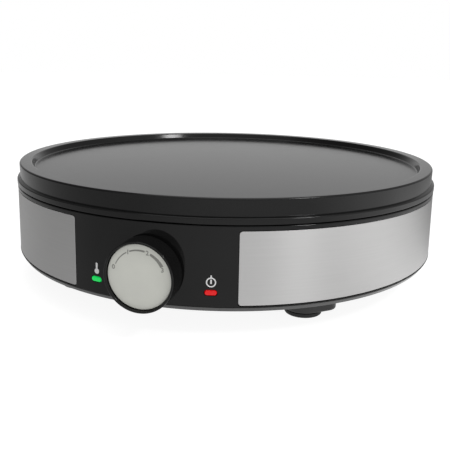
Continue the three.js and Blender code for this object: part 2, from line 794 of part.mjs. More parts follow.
function addGland() {
  const profile = [
    [3.6, 156.5],
    [7.4, 156.5],
    [7.4, BODY_INNER_R - 0.6],
    [5.6, BODY_INNER_R - 0.6],
    [5.6, wallR(GLAND_Z) + GAP],
    [8.4, wallR(GLAND_Z) + GAP],
    [8.4, wallR(GLAND_Z) + 1.8],
    [6.6, GLAND_OUTER],
    [3.6, GLAND_OUTER],
  ];
  add("cord_gland", turnedOutward(profile, 180, GLAND_Z, 20), basePlastic);
}

// An insulated lead through points.
function addLead(name, points, material) {
  const path = points.map(([x, y, z]) => new THREE.Vector3(x, y, z));
  add(`lead_${name}`, tube(path, LEAD_R, 6, 5 * (points.length - 1)), material);
}

function addLeads() {
  const wayZ = SEAT_TOP + GAP + BLOCK.height / 2;
  const wayFront = BLOCK.y - BLOCK.depth / 2;
  const tabEnd = THERMOSTAT.back + TAB_LENGTH + 0.6;
  const pinEndZ = 43.6;
  const live = polar(ELEMENT_END_AZIMUTH, ELEMENT_R, pinEndZ);
  const neutral = polar(-ELEMENT_END_AZIMUTH, ELEMENT_R, pinEndZ);
  const liveRun = [
    [-10, wayFront + 4, wayZ],
    [-10, wayFront - 10, wayZ],
    [-30, 60, 25.5],
    [-34, 0, 24.5],
    [-24, -70, 26],
    [TAB_X[0], -104, TAB_Z],
    [TAB_X[0], tabEnd, TAB_Z],
  ];
  const neutralRun = [
    [10, wayFront + 4, wayZ],
    [10, wayFront - 8, wayZ],
    [0, 94, 36],
    [neutral.x, neutral.y, 38.5],
    [neutral.x, neutral.y, neutral.z],
  ];
  const thermostatRun = [
    [TAB_X[1], tabEnd, TAB_Z],
    [TAB_X[1], -104, TAB_Z],
    [24, -50, 26],
    [44, 10, 34],
    [38, 52, 50],
    [35, 60.6, 60.4],
    [30, 56, 71],
    [FUSE_HALF + 1, FUSE_Y, BULB_Z],
  ];
  const fuseRun = [
    [-FUSE_HALF - 1, FUSE_Y, BULB_Z],
    [-30, 56, 71],
    [-35, 60.6, 60.4],
    [-24, 68, 46],
    [4, 78, 38],
    [live.x, live.y - 4, 37],
    [live.x, live.y, live.z],
  ];
  addLead("live", liveRun, brownLead);
  addLead("neutral", neutralRun, blueLead);
  addLead("thermostat", thermostatRun, whiteLead);
  addLead("fuse", fuseRun, whiteLead);
  for (const [name, side] of [["green", -1], ["red", 1]]) {
    const back = polar(LAMP_AZIMUTH[name], BODY_INNER_R - 14.5, LAMP_Z);
    const lampRun = [
      [side * 10, -106, 26],
      [side * 24, -112, 25],
      [back.x, back.y + 14, 28],
      [back.x, back.y, back.z],
    ];
    addLead(`lamp_${name}`, lampRun, whiteLead);
  }
}

addPlate();
addHeatingElement();
addHeatShield();
addHousing();
addSteelPanels();
addBaseCover();
addFeet();
addScrews();
addDial();
addLamps();
addThermostat();
addSensors();
addTerminalBlock();
addGland();
addLeads();

export default griddle;
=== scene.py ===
"""Looks of the round electric griddle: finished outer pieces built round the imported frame."""

import json
import math

import bmesh
import bpy
from mathutils import Matrix, Vector


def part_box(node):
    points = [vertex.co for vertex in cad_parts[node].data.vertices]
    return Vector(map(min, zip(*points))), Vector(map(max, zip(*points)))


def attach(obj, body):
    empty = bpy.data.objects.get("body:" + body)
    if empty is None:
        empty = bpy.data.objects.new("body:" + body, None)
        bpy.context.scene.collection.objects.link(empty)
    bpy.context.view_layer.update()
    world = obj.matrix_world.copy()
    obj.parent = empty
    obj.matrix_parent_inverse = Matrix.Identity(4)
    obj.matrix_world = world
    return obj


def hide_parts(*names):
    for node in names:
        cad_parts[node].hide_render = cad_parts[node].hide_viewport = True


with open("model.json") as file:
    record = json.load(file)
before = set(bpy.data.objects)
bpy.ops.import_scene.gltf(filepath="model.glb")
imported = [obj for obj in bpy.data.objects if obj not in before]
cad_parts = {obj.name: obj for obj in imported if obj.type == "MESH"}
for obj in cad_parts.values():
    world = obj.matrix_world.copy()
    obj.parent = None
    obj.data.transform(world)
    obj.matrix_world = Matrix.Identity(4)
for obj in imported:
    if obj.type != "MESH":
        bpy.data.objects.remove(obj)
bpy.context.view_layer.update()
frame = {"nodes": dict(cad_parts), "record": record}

MM = 0.001
NODES = frame["nodes"]

# ---- Where things are, from the frame, in millimetres ----


def node_box(name):
    """Lowest and highest corner of a CAD node, in millimetres."""
    low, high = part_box(name)
    return low / MM, high / MM


HOUSING_LOW, HOUSING_HIGH = node_box("housing_ring")
PLATE_LOW, PLATE_HIGH = node_box("griddle_plate")
BASE_LOW, BASE_HIGH = node_box("base_cover")
AXIS_Y = (HOUSING_LOW.y + HOUSING_HIGH.y) / 2  # the round body's own axis
WALL_BOTTOM_R = (HOUSING_HIGH.x - HOUSING_LOW.x) / 2
WALL_BOTTOM_Z, WALL_TOP_Z = HOUSING_LOW.z, HOUSING_HIGH.z
WALL_TAPER = 1.2 / (71.6 - 21.8)  # the wall leans in 1.2 mm over its height of 49.8 mm
WALL_INNER_R = 161.4
CREST_Z = PLATE_HIGH.z  # top of the plate's rim
SHOULDER_R = (PLATE_HIGH.x - PLATE_LOW.x) / 2
BASE_R = (BASE_HIGH.x - BASE_LOW.x) / 2
BASE_UNDER_Z = BASE_LOW.z
BASE_EDGE_Z = BASE_UNDER_Z + 3.1  # where the bevel ends
BASE_FLOOR_TOP_Z = BASE_UNDER_Z + 2.8
DIAL_LOW, DIAL_HIGH = node_box("dial_knob")
DIAL_Z = (DIAL_LOW.z + DIAL_HIGH.z) / 2
DIAL_FRONT = AXIS_Y - DIAL_LOW.y  # distances from the body axis
DIAL_BACK = AXIS_Y - DIAL_HIGH.y
FACE_LOW, FACE_HIGH = node_box("dial_face")
FACE_R = (FACE_HIGH.x - FACE_LOW.x) / 2
FACE_FRONT = AXIS_Y - FACE_LOW.y
ROUND = 288  # steps round the body


def wall_r(z):
    """Radius of the housing's outer face at a height."""
    return WALL_BOTTOM_R - WALL_TAPER * (z - WALL_BOTTOM_Z)


# ---- Mesh helpers, all in millimetres until an object is made ----


def polar(azimuth, r, z):
    """A point round the body axis: azimuth 0 faces -Y and 90 faces +X, in degrees."""
    a = math.radians(azimuth)
    return Vector((r * math.sin(a), AXIS_Y - r * math.cos(a), z))


def rounded(points, steps=5):
    """A polyline of (a, b) or (a, b, radius) points with its corners rounded."""
    out = []
    last = len(points) - 1
    for i, point in enumerate(points):
        p = Vector(point[:2])
        radius = point[2] if len(point) > 2 else 0
        if not radius or i in (0, last):
            out.append(p)
            continue
        to_prev = (Vector(points[i - 1][:2]) - p).normalized()
        to_next = (Vector(points[i + 1][:2]) - p).normalized()
        half = to_prev.angle(to_next) / 2
        centre = p + (to_prev + to_next).normalized() * (radius / math.sin(half))
        reach = radius / math.tan(half)
        start = p + to_prev * reach - centre
        turn = start.angle_signed(p + to_next * reach - centre)
        for k in range(steps + 1):
            out.append(centre + Matrix.Rotation(-turn * k / steps, 2) @ start)
    return out


def lathe(profile, steps, frame_matrix, closed=False):
    """Turns (radius, height) points about Z, then moves the result. A closed profile is a loop."""
    bm = bmesh.new()
    rings = []
    for r, z in (tuple(p) for p in profile):
        if r < 1e-6:
            rings.append([bm.verts.new((0, 0, z))])
            continue
        ring = []
        for k in range(steps):
            a = 2 * math.pi * k / steps
            ring.append(bm.verts.new((r * math.sin(a), -r * math.cos(a), z)))
        rings.append(ring)
    pairs = list(zip(rings, rings[1:]))
    if closed:
        pairs.append((rings[-1], rings[0]))
    for lower, upper in pairs:
        for k in range(steps):
            j = (k + 1) % steps
            if len(lower) == 1 and len(upper) == 1:
                break
            if len(lower) == 1:
                bm.faces.new((lower[0], upper[k], upper[j]))
            elif len(upper) == 1:
                bm.faces.new((lower[k], upper[0], lower[j]))
            else:
                bm.faces.new((lower[k], upper[k], upper[j], lower[j]))
    bmesh.ops.recalc_face_normals(bm, faces=bm.faces)
    bmesh.ops.transform(bm, matrix=frame_matrix, verts=bm.verts)
    return bm


UPRIGHT = Matrix.Translation((0, 0, 0))


def about_body():
    """Frame of a shape turned about the body axis."""
    return Matrix.Translation((0, AXIS_Y, 0))


def standing(azimuth, r):
    """Frame of a shape turned about an upright line beside the body axis."""
    return Matrix.Translation(polar(azimuth, r, 0)) @ Matrix.Rotation(math.radians(azimuth), 4, "Z")


def outward(azimuth, z):
    """Frame of a shape whose own Z leaves the body axis at an azimuth and height."""
    turn = Matrix.Rotation(math.radians(azimuth), 4, "Z") @ Matrix.Rotation(math.pi / 2, 4, "X")
    return Matrix.Translation((0, AXIS_Y, z)) @ turn


def prism(loops, frame_matrix):
    """A closed solid skinned through loops of 3D points of equal length."""
    bm = bmesh.new()
    rings = [[bm.verts.new(p) for p in loop] for loop in loops]
    count = len(rings[0])
    for lower, upper in zip(rings, rings[1:]):
        for k in range(count):
            j = (k + 1) % count
            bm.faces.new((lower[k], lower[j], upper[j], upper[k]))
    bm.faces.new(list(reversed(rings[0])))
    bm.faces.new(rings[-1])
    bmesh.ops.recalc_face_normals(bm, faces=bm.faces)
    bmesh.ops.transform(bm, matrix=frame_matrix, verts=bm.verts)
    return bm


def arc(x, y, radius, start, end, steps):
    """Points of an arc about (x, y), from one angle to another, in degrees."""
    angles = [math.radians(start + (end - start) * k / steps) for k in range(steps + 1)]
    return [(x + radius * math.cos(a), y + radius * math.sin(a)) for a in angles]


def pill(width, height, grow=0.0, steps=12):
    """An oblong with round ends, grown by a margin."""
    reach = (width - height) / 2
    radius = height / 2 + grow
    return arc(reach, 0, radius, -90, 90, steps) + arc(-reach, 0, radius, 90, 270, steps)


def at_height(outline, z):
    """A flat outline as 3D points at one height."""
    return [(x, y, z) for x, y in outline]


def bar(r, low, high, frame_matrix, steps=24):
    """A round rod from one height to another."""
    return lathe([(0, low), (r, low), (r, high), (0, high)], steps, frame_matrix)


def block(low, high, frame_matrix):
    """A box from its lowest and highest corners."""
    (x0, y0, z0), (x1, y1, z1) = low, high
    outline = [(x0, y0), (x1, y0), (x1, y1), (x0, y1)]
    return prism([at_height(outline, z0), at_height(outline, z1)], frame_matrix)


def shade(mesh, sharp_angle):
    """Smooth shading that keeps edges sharper than an angle."""
    for polygon in mesh.polygons:
        polygon.use_smooth = True
    mesh.set_sharp_from_angle(angle=math.radians(sharp_angle))


def make(name, bm, material, body="body", nodes=(), sharp_angle=38):
    """An object of the visual model from a bmesh in millimetres."""
    bmesh.ops.scale(bm, vec=(MM, MM, MM), verts=bm.verts)
    mesh = bpy.data.meshes.new(name)
    bm.to_mesh(mesh)
    bm.free()
    shade(mesh, sharp_angle)
    obj = bpy.data.objects.new(name, mesh)
    bpy.context.scene.collection.objects.link(obj)
    mesh.materials.append(material)
    normals = obj.modifiers.new("weighted_normals", "WEIGHTED_NORMAL")
    normals.keep_sharp = True
    normals.weight = 100
    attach(obj, body)
    if nodes:
        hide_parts(*nodes)
    return obj


def merged(parts):
    """One bmesh holding several."""
    total = bmesh.new()
    for part in parts:
        mesh = bpy.data.meshes.new("part")
        part.to_mesh(mesh)
        part.free()
        total.from_mesh(mesh)
        bpy.data.meshes.remove(mesh)
    return total


def boolean(bm, parts, operation):
    """bm joined with, or cut by, solids that don't overlap each other."""
    objects = []
    for source in (bm, merged(parts)):
        mesh = bpy.data.meshes.new("solid")
        source.to_mesh(mesh)
        source.free()
        obj = bpy.data.objects.new("solid", mesh)
        bpy.context.scene.collection.objects.link(obj)
        objects.append(obj)
    target, tool = objects
    modifier = target.modifiers.new("boolean", "BOOLEAN")
    modifier.operation = operation
    modifier.solver = "EXACT"
    modifier.object = tool
    depsgraph = bpy.context.evaluated_depsgraph_get()
    result = bmesh.new()
    result.from_object(target, depsgraph)
    for obj in objects:
        mesh = obj.data
        bpy.data.objects.remove(obj)
        bpy.data.meshes.remove(mesh)
    return result


# ---- Materials ----


class Tree:
    """A new material's node tree, with short ways to add what these finishes need."""

    def __init__(self, name):
        self.material = bpy.data.materials.new(name)
        self.material.use_nodes = True
        self.nodes = self.material.node_tree.nodes
        self.links = self.material.node_tree.links
        self.shader = self.nodes["Principled BSDF"]
        self.coordinates = self.nodes.new("ShaderNodeTexCoord").outputs["Object"]

    def set(self, **values):
        """Sets the shader's own sockets, with _ for each space in their names."""
        for key, value in values.items():
            self.shader.inputs[key.replace("_", " ")].default_value = value

    def node(self, kind, links=(), **values):
        """Adds a node. Links are its inputs, as sockets or plain values; values its properties."""
        node = self.nodes.new("ShaderNode" + kind)
        for key, value in values.items():
            setattr(node, key, value)
        for socket, source in dict(links).items():
            if isinstance(source, bpy.types.NodeSocket):
                self.links.new(source, node.inputs[socket])
            else:
                node.inputs[socket].default_value = source
        return node

    def noise(self, scale, detail=3.0, roughness=0.5, vector=None):
        links = {"Scale": scale, "Detail": detail, "Roughness": roughness}
        links["Vector"] = vector or self.coordinates
        return self.node("TexNoise", links).outputs["Fac"]

    def remap(self, value, low, high, start=0.3, end=0.7):
        links = {"Value": value, "From Min": start, "From Max": end, "To Min": low, "To Max": high}
        return self.node("MapRange", links).outputs["Result"]

    def mix(self, fac, a, b):
        node = self.node("Mix", data_type="RGBA")
        for socket, value in ((node.inputs[0], fac), (node.inputs[6], a), (node.inputs[7], b)):
            if isinstance(value, bpy.types.NodeSocket):
                self.links.new(value, socket)
            else:
                socket.default_value = value
        return node.outputs[2]

    def bump(self, height, strength, distance):
        node = self.node("Bump", {"Height": height, "Strength": strength, "Distance": distance})
        self.links.new(node.outputs["Normal"], self.shader.inputs["Normal"])

    def plug(self, socket, value):
        self.links.new(value, self.shader.inputs[socket])


def grey(level, warmth=0.0):
    """A linear grey with a slight warm or cool cast."""
    return (level * (1 + warmth), level, level * (1 - warmth), 1)


def moulded(name, dark, light, rough, grain, depth, spec=0.5):
    """Moulded plastic or rubber: slight tone and gloss variation over a fine grain."""
    t = Tree(name)
    t.plug("Base Color", t.mix(t.remap(t.noise(60), 0, 1), dark, light))
    t.plug("Roughness", t.remap(t.noise(240, 4), rough[0], rough[1]))
    t.bump(t.noise(grain, 2), depth, 0.0002)
    t.set(Specular_IOR_Level=spec)
    return t.material


def metal(name, dark, light, rough, grain, depth):
    """Bare or plated metal with fine marks."""
    t = Tree(name)
    t.plug("Base Color", t.mix(t.remap(t.noise(grain, 4, 0.6), 0, 1), dark, light))
    t.plug("Roughness", t.remap(t.noise(grain * 0.4, 3, 0.5), rough[0], rough[1]))
    t.bump(t.noise(grain, 3, 0.6), depth, 0.0001)
    t.set(Metallic=1.0)
    return t.material


def gloss_black():
    """Smooth black moulding with a faint waviness that softens reflections."""
    t = Tree("gloss_black")
    t.plug("Base Color", t.mix(t.remap(t.noise(45), 0, 1), grey(0.0048), grey(0.0062)))
    t.plug("Roughness", t.remap(t.noise(160, 4), 0.045, 0.065))
    t.bump(t.noise(900, 2), 0.01, 0.00005)
    t.set(IOR=1.31)
    return t.material


def non_stick():
    """Semi-gloss dark cooking surface: sprayed coat with very fine speckle."""
    t = Tree("non_stick_coat")
    speckle = t.remap(t.noise(2600, 2), 0, 1, 0.45, 0.75)
    t.plug("Base Color", t.mix(speckle, grey(0.0045), grey(0.0085)))
    t.plug("Roughness", t.remap(t.noise(140, 4), 0.14, 0.16))
    t.bump(t.noise(2200, 2), 0.008, 0.00005)
    t.set(IOR=1.32)
    return t.material


def brushed_steel():
    """Stainless sheet brushed round the body: long streaks in the azimuth, short in height."""
    t = Tree("brushed_steel")
    split = t.node("SeparateXYZ", {"Vector": t.coordinates})
    links = {0: split.outputs["Y"], 1: AXIS_Y * MM}
    centred = t.node("Math", links, operation="SUBTRACT").outputs[0]
    angle = t.node("Math", {0: split.outputs["X"], 1: centred}, operation="ARCTAN2").outputs[0]
    flat = t.node("CombineXYZ", {"X": angle, "Y": split.outputs["Z"]}).outputs[0]
    fine = t.node("Mapping", {"Vector": flat, "Scale": (5, 2600, 1)}).outputs[0]
    coarse = t.node("Mapping", {"Vector": flat, "Scale": (3, 700, 1)}).outputs[0]
    streaks = t.noise(1.6, 6, 0.62, fine)
    broad = t.noise(1.3, 4, 0.55, coarse)
    t.plug("Base Color", t.mix(t.remap(broad, 0, 1), grey(0.495, 0.006), grey(0.515, 0.006)))
    t.plug("Roughness", t.remap(streaks, 0.42, 0.46))
    t.bump(streaks, 0.05, 0.00003)
    t.set(Metallic=1.0, Anisotropic=0.85, Anisotropic_Rotation=0.25)
    tangent = t.node("Tangent", direction_type="RADIAL", axis="Z")
    t.plug("Tangent", tangent.outputs["Tangent"])
    return t.material


def dial_paint():
    """Satin warm grey disc with a very fine grain."""
    t = Tree("dial_face_paint")
    dark, light = (0.55, 0.555, 0.51, 1), (0.58, 0.585, 0.535, 1)
    t.plug("Base Color", t.mix(t.remap(t.noise(70), 0, 1), dark, light))
    t.plug("Roughness", t.remap(t.noise(400, 3), 0.38, 0.48))
    t.bump(t.noise(2200, 2), 0.08, 0.0001)
    return t.material


def print_ink(name, dark, light):
    """Screen-printed ink, slightly uneven."""
    t = Tree(name)
    t.plug("Base Color", t.mix(t.remap(t.noise(1500, 3), 0, 1), dark, light))
    t.plug("Roughness", t.remap(t.noise(700, 2), 0.42, 0.55))
    return t.material


def lamp(name, deep, bright, glow):
    """Translucent lens over a lit lamp, with fine inner texture."""
    t = Tree(name)
    t.plug("Base Color", t.mix(t.remap(t.noise(1400, 2), 0, 1), deep, bright))
    t.plug("Roughness", t.remap(t.noise(900, 2), 0.16, 0.26))
    t.bump(t.noise(1600, 1), 0.1, 0.0001)
    t.set(Emission_Color=bright, Emission_Strength=glow)
    t.set(Coat_Weight=0.1, Specular_IOR_Level=0.3)
    return t.material


def woven(name, dark, light):
    """Woven glass sleeve: crossed fine bands."""
    t = Tree(name)
    links = {"Vector": t.coordinates, "Scale": 900.0}
    bands = t.node("TexWave", {**links, "Distortion": 0.6}).outputs["Fac"]
    cross = t.node("TexWave", links, bands_direction="Z").outputs["Fac"]
    weave = t.node("Math", {0: bands, 1: cross}, operation="MULTIPLY").outputs[0]
    t.plug("Base Color", t.mix(weave, dark, light))
    t.plug("Roughness", t.remap(weave, 0.75, 0.9))
    t.bump(weave, 0.4, 0.0002)
    return t.material


BLACK = gloss_black()
COAT = non_stick()
STEEL = brushed_steel()
FACE = dial_paint()
BASE = moulded("satin_base_black", grey(0.046), grey(0.056), (0.26, 0.34), 1500, 0.12)
FOOT = moulded("foot_black", grey(0.015), grey(0.021), (0.38, 0.48), 1300, 0.2)
RUBBER = moulded("pad_rubber", grey(0.016), grey(0.026), (0.62, 0.78), 900, 0.35, 0.35)
DIAL_PRINT = print_ink("dial_print", (0.19, 0.19, 0.175, 1), (0.23, 0.23, 0.21, 1))
ICON_PRINT = print_ink("icon_print", (0.62, 0.62, 0.62, 1), (0.70, 0.70, 0.70, 1))
GREEN = lamp("green_lamp", (0.002, 0.40, 0.065, 1), (0.004, 0.56, 0.09, 1), 0.55)
RED = lamp("red_lamp", (0.42, 0.0015, 0.002, 1), (0.54, 0.002, 0.003, 1), 0.45)
ZINC = metal("zinc_steel", grey(0.50, -0.01), grey(0.62, -0.01), (0.28, 0.42), 500, 0.2)
ELEMENT = metal("element_sheath", grey(0.13, 0.05), grey(0.22, 0.03), (0.38, 0.55), 260, 0.3)
SHIELD = metal("aluminised_sheet", grey(0.58, -0.01), grey(0.68, -0.01), (0.32, 0.46), 180, 0.25)
COPPER = metal("drawn_copper", (0.50, 0.24, 0.13, 1), (0.68, 0.36, 0.21, 1), (0.25, 0.4), 400, 0.15)
CERAMIC = moulded("ceramic", (0.66, 0.63, 0.54, 1), (0.76, 0.73, 0.64, 1), (0.45, 0.6), 700, 0.3)
SLEEVE = woven("glass_sleeve", (0.55, 0.52, 0.42, 1), (0.78, 0.75, 0.66, 1))
BROWN = moulded("brown_lead", (0.15, 0.06, 0.025, 1), (0.20, 0.085, 0.04, 1), (0.4, 0.5), 800, 0.15)
BLUE = moulded("blue_lead", (0.03, 0.09, 0.34, 1), (0.05, 0.13, 0.44, 1), (0.4, 0.5), 800, 0.15)
WHITE = moulded("white_lead", (0.60, 0.59, 0.54, 1), (0.72, 0.71, 0.67, 1), (0.5, 0.6), 800, 0.15)

# The finish of each material slot of the record, for the CAD nodes that stay as they are.
SLOT_FINISH = {
    "black_plastic": BLACK,
    "base_plastic": BASE,
    "non_stick": COAT,
    "brushed_steel": STEEL,
    "dial_face": FACE,
    "rubber": RUBBER,
    "zinc_steel": ZINC,
    "element_steel": ELEMENT,
    "aluminised_steel": SHIELD,
    "ceramic": CERAMIC,
    "copper": COPPER,
    "glass_sleeve": SLEEVE,
    "green_lens": GREEN,
    "red_lens": RED,
    "brown_lead": BROWN,
    "blue_lead": BLUE,
    "white_lead": WHITE,
}

for part in frame["record"]["subparts"]:
    mesh = NODES[part["node"]].data
    mesh.materials.clear()
    mesh.materials.append(SLOT_FINISH[part["material_slot"]])

# ---- Cooking plate ----

POST_AZIMUTHS = (-112, -68, 68, 112)  # the plate's screw posts
POST_R = 122
POST_FOOT_Z = PLATE_LOW.z
PLATE_TOP_Z = CREST_Z - 4.5
PLATE_UNDER_Z = PLATE_TOP_Z - 4.2


def build_plate():
    """The cooking plate: rim, shoulder and skirt, with the heater's ribs and the posts below."""
    well_r, crest_r, rim_r = 151.8, 153.9, 162.8
    ledge_in_z, ledge_out_z = 76.9, 76.0
    skirt_r, skirt_z = 160, 72.2
    (rib_a, rib_b), (rib_c, rib_d), rib_z = (92.5, 96), (104, 107.5), 73.5
    seat_z = PLATE_UNDER_Z - 0.8  # the heater lies against the plate between the ribs
    profile = rounded(
        [
            (0, PLATE_TOP_Z),
            (well_r, PLATE_TOP_Z, 1.2),
            (crest_r, CREST_Z, 1.2),
            (rim_r, CREST_Z, 1.3),
            (rim_r, ledge_in_z, 0.3),
            (SHOULDER_R, ledge_out_z, 1.0),
            (SHOULDER_R, skirt_z, 0.5),
            (skirt_r, skirt_z, 0.4),
            (skirt_r, PLATE_UNDER_Z, 1.0),
            (rib_d, PLATE_UNDER_Z, 0.6),
            (rib_d, rib_z, 0.4),
            (rib_c, rib_z, 0.4),
            (rib_c, seat_z, 0.4),
            (rib_b, seat_z, 0.4),
            (rib_b, rib_z, 0.4),
            (rib_a, rib_z, 0.4),
            (rib_a, PLATE_UNDER_Z, 0.6),
            (0, PLATE_UNDER_Z),
        ],
        8,
    )
    dish = lathe(profile, ROUND, about_body())
    post_r, hole_r, hole_top_z = 6, 2.3, 76.5
    posts, holes = [], []
    for azimuth in POST_AZIMUTHS:
        place = standing(azimuth, POST_R)
        posts.append(bar(post_r, POST_FOOT_Z, PLATE_UNDER_Z + 1, place))
        holes.append(bar(hole_r, POST_FOOT_Z - 1, hole_top_z, place))
    plate = boolean(boolean(dish, posts, "UNION"), holes, "DIFFERENCE")
    make("cooking_plate", plate, COAT, nodes=["griddle_plate"])


# ---- Housing and panels ----

PANEL_AZIMUTH = (18.9, 161.1)  # of the right panel; the left one is the same, turned by 180
PANEL_Z = (22.8, 68.5)
PANEL_CORNER = 2.0
PANEL_SINK = 0.15  # how far the sheet's face lies under the wall's face
PANEL_THICKNESS = 0.6
PANEL_GROOVE = 0.45  # gap between a panel and the wall around it
PANEL_FACET = 1.25  # degrees


def panel_stations(margin, turn):
    """(azimuth, lowest, highest) stations of a round-cornered panel grown by a margin."""
    per_mm = math.degrees(1 / WALL_BOTTOM_R)
    start, end = PANEL_AZIMUTH[0] - margin * per_mm, PANEL_AZIMUTH[1] + margin * per_mm
    low, high = PANEL_Z[0] - margin, PANEL_Z[1] + margin
    radius = max(PANEL_CORNER + margin, 0.2)
    corner = [(x * per_mm, y) for x, y in arc(radius, radius, radius, 180, 270, 10)]
    inset = corner[-1][0]
    stations = [(start + x, low + y, high - y) for x, y in corner]
    straight = end - start - 2 * inset
    steps = round(straight / PANEL_FACET)
    for k in range(1, steps):
        azimuth = start + inset + straight * k / steps
        stations.append((azimuth, low, high))
    stations += [(end - x, low + y, high - y) for x, y in reversed(corner)]
    return [(azimuth + turn, bottom, top) for azimuth, bottom, top in stations]


def panel_edges(margin, depth, turn):
    """The lower and upper edge of a panel as points on the wall, at a depth under its face."""
    stations = panel_stations(margin, turn)
    lower = [polar(a, wall_r(low) - depth, low) for a, low, _ in stations]
    upper = [polar(a, wall_r(high) - depth, high) for a, _, high in stations]
    return lower, upper


def panel_solid(levels, turn):
    """A curved slab skinned through (margin, depth) levels, from its back to its front."""
    bm = bmesh.new()
    rings = []
    for margin, depth in levels:
        lower, upper = panel_edges(margin, depth, turn)
        rings.append(([bm.verts.new(p) for p in lower], [bm.verts.new(p) for p in upper]))
    count = len(rings[0][0])
    for lower, upper in (rings[0], rings[-1]):
        for k in range(count - 1):
            bm.faces.new((lower[k], lower[k + 1], upper[k + 1], upper[k]))
    for (low_a, up_a), (low_b, up_b) in zip(rings, rings[1:]):
        for k in range(count - 1):
            bm.faces.new((low_a[k], low_a[k + 1], low_b[k + 1], low_b[k]))
            bm.faces.new((up_a[k], up_a[k + 1], up_b[k + 1], up_b[k]))
        bm.faces.new((low_a[0], up_a[0], up_b[0], low_b[0]))
        bm.faces.new((low_a[-1], up_a[-1], up_b[-1], low_b[-1]))
    bmesh.ops.recalc_face_normals(bm, faces=bm.faces)
    return bm


BOSS_AZIMUTHS = (-155, -90, -25, 25, 90, 155)  # the housing's screw bosses
BOSS_R = 155
LAMP_AZIMUTH = {"green": -12.8, "red": 13.2}
LAMP_Z = 30.7
LAMP_SIZE = (7.4, 3.2)
GLAND_Z = 37.0


def build_housing():
    """The black wall, its top flange and bosses, and the openings cut into it."""
    flange_r, flange_under_z = 152, WALL_TOP_Z - 2.5
    profile = rounded(
        [
            (WALL_INNER_R, WALL_BOTTOM_Z + 5),
            (WALL_INNER_R, WALL_BOTTOM_Z, 0.3),
            (wall_r(WALL_BOTTOM_Z), WALL_BOTTOM_Z, 0.3),
            (wall_r(WALL_TOP_Z), WALL_TOP_Z, 0.8),
            (flange_r, WALL_TOP_Z, 0.3),
            (flange_r, flange_under_z, 0.3),
            (WALL_INNER_R, flange_under_z, 0.8),
            (WALL_INNER_R, WALL_TOP_Z - 6),
        ],
        4,
    )
    shell = lathe(profile, ROUND, about_body(), closed=True)
    boss_radius, boss_hole_r, boss_hole_top_z = 5.2, 1.7, 40
    boss_low, boss_high = 25.0, WALL_TOP_Z - 1
    rib_low = (-2, -WALL_INNER_R - 1, boss_low + 0.5)
    rib_high = (2, -BOSS_R - 1, boss_high - 0.5)
    posts, ribs, boss_holes = [], [], []
    for azimuth in BOSS_AZIMUTHS:
        place = standing(azimuth, BOSS_R)
        posts.append(bar(boss_radius, boss_low, boss_high, place, 32))
        spin = about_body() @ Matrix.Rotation(math.radians(azimuth), 4, "Z")
        ribs.append(block(rib_low, rib_high, spin))
        boss_holes.append(bar(boss_hole_r, boss_low - 1, boss_hole_top_z, place))
    shell = boolean(boolean(shell, posts, "UNION"), ribs, "UNION")
    recess = PANEL_SINK + PANEL_THICKNESS + 0.3
    levels = [
        (PANEL_GROOVE, recess),
        (PANEL_GROOVE, 0.3),
        (PANEL_GROOVE + 0.1, 0.12),
        (PANEL_GROOVE + 0.3, 0.0),
        (PANEL_GROOVE + 3.3, -2.0),
    ]
    cutters = [panel_solid(levels, 0), panel_solid(levels, 180)] + boss_holes
    wall = wall_r(LAMP_Z)
    for azimuth in LAMP_AZIMUTH.values():
        loops = [
            at_height(pill(*LAMP_SIZE, 0.25), WALL_INNER_R - 6),
            at_height(pill(*LAMP_SIZE, 0.25), wall - 0.35),
            at_height(pill(*LAMP_SIZE, 0.55), wall),
            at_height(pill(*LAMP_SIZE, 2.55), wall + 2),
        ]
        cutters.append(prism(loops, outward(azimuth, LAMP_Z)))
    spindle_hole_r, gland_hole_r, inside, outside = 4.2, 5.9, 155, 170
    cutters.append(bar(spindle_hole_r, inside, outside, outward(0, DIAL_Z), 40))
    cutters.append(bar(gland_hole_r, inside, outside, outward(180, GLAND_Z), 40))
    shell = boolean(shell, cutters, "DIFFERENCE")
    nodes = ["housing_ring"]
    make("housing_shell", shell, BLACK, nodes=nodes, sharp_angle=28)


def build_panels():
    """The two brushed steel sheets, with eased edges."""
    back = PANEL_SINK + PANEL_THICKNESS
    levels = [
        (-0.05, back),
        (0, back - 0.1),
        (0, PANEL_SINK + 0.16),
        (-0.05, PANEL_SINK + 0.05),
        (-0.16, PANEL_SINK),
    ]
    for side, turn in (("right", 0), ("left", 180)):
        sheet = panel_solid(levels, turn)
        nodes = [f"steel_panel_{side}"]
        make(f"steel_sheet_{side}", sheet, STEEL, nodes=nodes, sharp_angle=70)


# ---- Base, feet and screws ----

FOOT_AZIMUTH = 40.5
FOOT_R = 129.5
FOOT_SCREW_X = 14
# Name, azimuth, and which way round the body the foot's longer end points.
FEET = (
    ("front_right", FOOT_AZIMUTH, 1),
    ("front_left", -FOOT_AZIMUTH, -1),
    ("rear_right", 180 - FOOT_AZIMUTH, -1),
    ("rear_left", FOOT_AZIMUTH - 180, 1),
)
SEATS = ((-13, -136), (13, -136), (0, 122))  # for the bracket's and the terminal block's screws
SEAT_TOP_Z = 25.4
SHIELD_Z = 60
POST_SCREW_Z = 22.5  # where the heads of the plate's screws begin


def counterbored(head_r, head_z, shank_r, top_z, chamfer, steps, place):
    """A cutter for a screw hole from under the base: chamfer, head and shank."""
    under = BASE_UNDER_Z - 1
    profile = [
        (0, under),
        (head_r + chamfer, under),
        (head_r, BASE_UNDER_Z + 0.4),
        (head_r, head_z),
        (shank_r, head_z),
        (shank_r, top_z),
        (0, top_z),
    ]
    return lathe(profile, steps, place)


